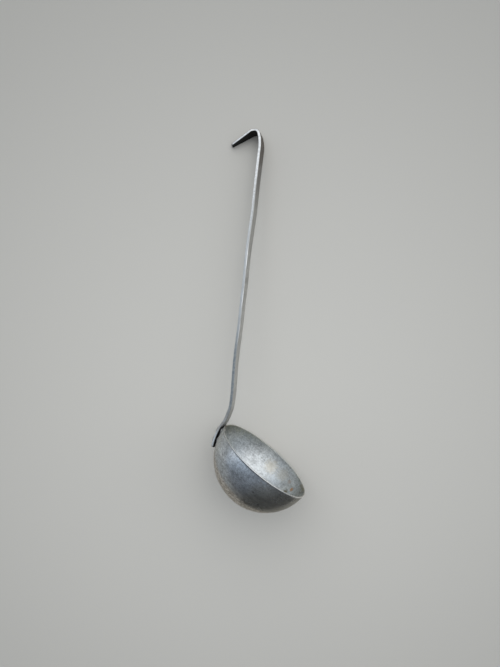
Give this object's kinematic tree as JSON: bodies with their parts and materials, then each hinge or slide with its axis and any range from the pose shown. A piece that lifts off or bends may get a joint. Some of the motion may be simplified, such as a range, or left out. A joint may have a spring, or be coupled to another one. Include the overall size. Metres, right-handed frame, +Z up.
{
  "type": "ladle",
  "caption": "Hanging soup ladle: a deep round bowl, a flat-bar handle riveted along the bowl's back, and an open hook at the top of the handle.",
  "frame": {"origin": "underside of the hook's crown, in the plane of symmetry, where the nail or rail that holds the ladle bears", "axes": "+Z up with the ladle hanging plumb, +X towards the bowl's pouring side, the hook's limb towards -X, Y = 0 the plane of symmetry"},
  "size_m": [0.0934, 0.1012, 0.3797],
  "materials": {
    "bowl_aluminium": "worn satin, grey with fine scratches, faint stains and small pits",
    "bar_aluminium": "worn and slightly hammered, with brighter rubbed edges and a warm grey tarnish",
    "rivet_aluminium": "dull set rivet heads"
  },
  "bodies": {
    "root": {"bowl": "bowl_aluminium", "handle": "bar_aluminium", "upper_rivet": "rivet_aluminium", "lower_rivet": "rivet_aluminium"}
  },
  "joints": []
}
